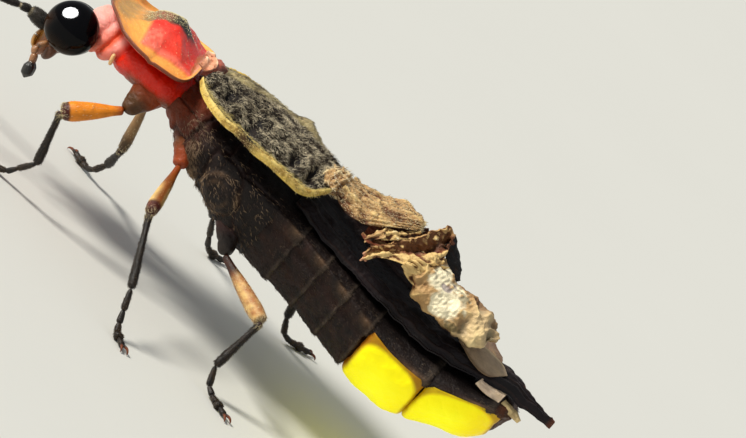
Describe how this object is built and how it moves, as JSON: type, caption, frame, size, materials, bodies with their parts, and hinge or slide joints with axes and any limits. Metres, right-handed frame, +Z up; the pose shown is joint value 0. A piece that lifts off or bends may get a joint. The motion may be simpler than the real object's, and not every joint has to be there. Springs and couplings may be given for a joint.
{
  "type": "firefly model",
  "caption": "Life-size beetle with big black eyes, a red and orange neck shield, hairy crumpled wing cases and a bright yellow lantern under its tail.",
  "frame": {"origin": "middle of the model's footprint box, on the floor it stands on", "axes": "head along -X, the animal's left side along -Y, up along +Z"},
  "size_m": [0.0198, 0.011, 0.0058],
  "materials": {
    "abdomen": "dark brown, greyish rims",
    "feeler": "black with short close hair",
    "coxa": "red-brown, satin",
    "elytron": "dark brown with short golden hair and a yellow margin",
    "crumpled": "dry, ridged, straw-coloured",
    "eye": "smooth, wet-looking black",
    "femur": "orange, darker at the knee",
    "head": "polished orange-brown skin",
    "wing": "smoky black membrane, satin",
    "mouth": "brown, slightly glossy",
    "light_organ": "smooth, bright yellow",
    "thorax": "dark red-brown with short hair",
    "neck": "moist folded pink skin",
    "pronotum": "rose-red disc, orange-yellow margin, dark central spot",
    "prothorax": "red, satin",
    "shin": "black with short hair"
  },
  "bodies": {
    "root": {"abdomen_2": "abdomen", "abdomen_3": "abdomen", "abdomen_4": "abdomen", "abdomen_5": "abdomen", "abdomen_tip": "abdomen", "antenna_left": "feeler", "antenna_right": "feeler", "coxa_front_left": "coxa", "coxa_front_right": "coxa", "coxa_hind_left": "coxa", "coxa_hind_right": "coxa", "coxa_mid_left": "coxa", "coxa_mid_right": "coxa", "elytron_left_base": "elytron", "elytron_left_fold": "crumpled", "elytron_left_ridge": "crumpled", "elytron_left_tip": "crumpled", "elytron_right_base": "elytron", "elytron_right_rear": "elytron", "elytron_right_tip": "crumpled", "eye_left": "eye", "eye_right": "eye", "femur_front_left": "femur", "femur_front_right": "femur", "femur_hind_left": "femur", "femur_hind_right": "femur", "femur_mid_left": "femur", "femur_mid_right": "femur", "head": "head", "hind_wing_left": "wing", "hind_wing_right": "wing", "labrum": "mouth", "light_organ_front": "light_organ", "light_organ_rear": "light_organ", "mandible_left": "mouth", "mandible_right": "mouth", "mesothorax": "thorax", "metathorax": "thorax", "neck": "neck", "palp_left": "feeler", "palp_right": "feeler", "pronotum": "pronotum", "prothorax": "prothorax", "scutellum": "prothorax", "tarsus_front_left": "shin", "tarsus_front_right": "shin", "tarsus_hind_left": "shin", "tarsus_hind_right": "shin", "tarsus_mid_left": "shin", "tarsus_mid_right": "shin", "tergite_front": "abdomen", "tergite_rear": "abdomen", "tibia_front_left": "shin", "tibia_front_right": "shin", "tibia_hind_left": "shin", "tibia_hind_right": "shin", "tibia_mid_left": "shin", "tibia_mid_right": "shin"}
  },
  "joints": []
}
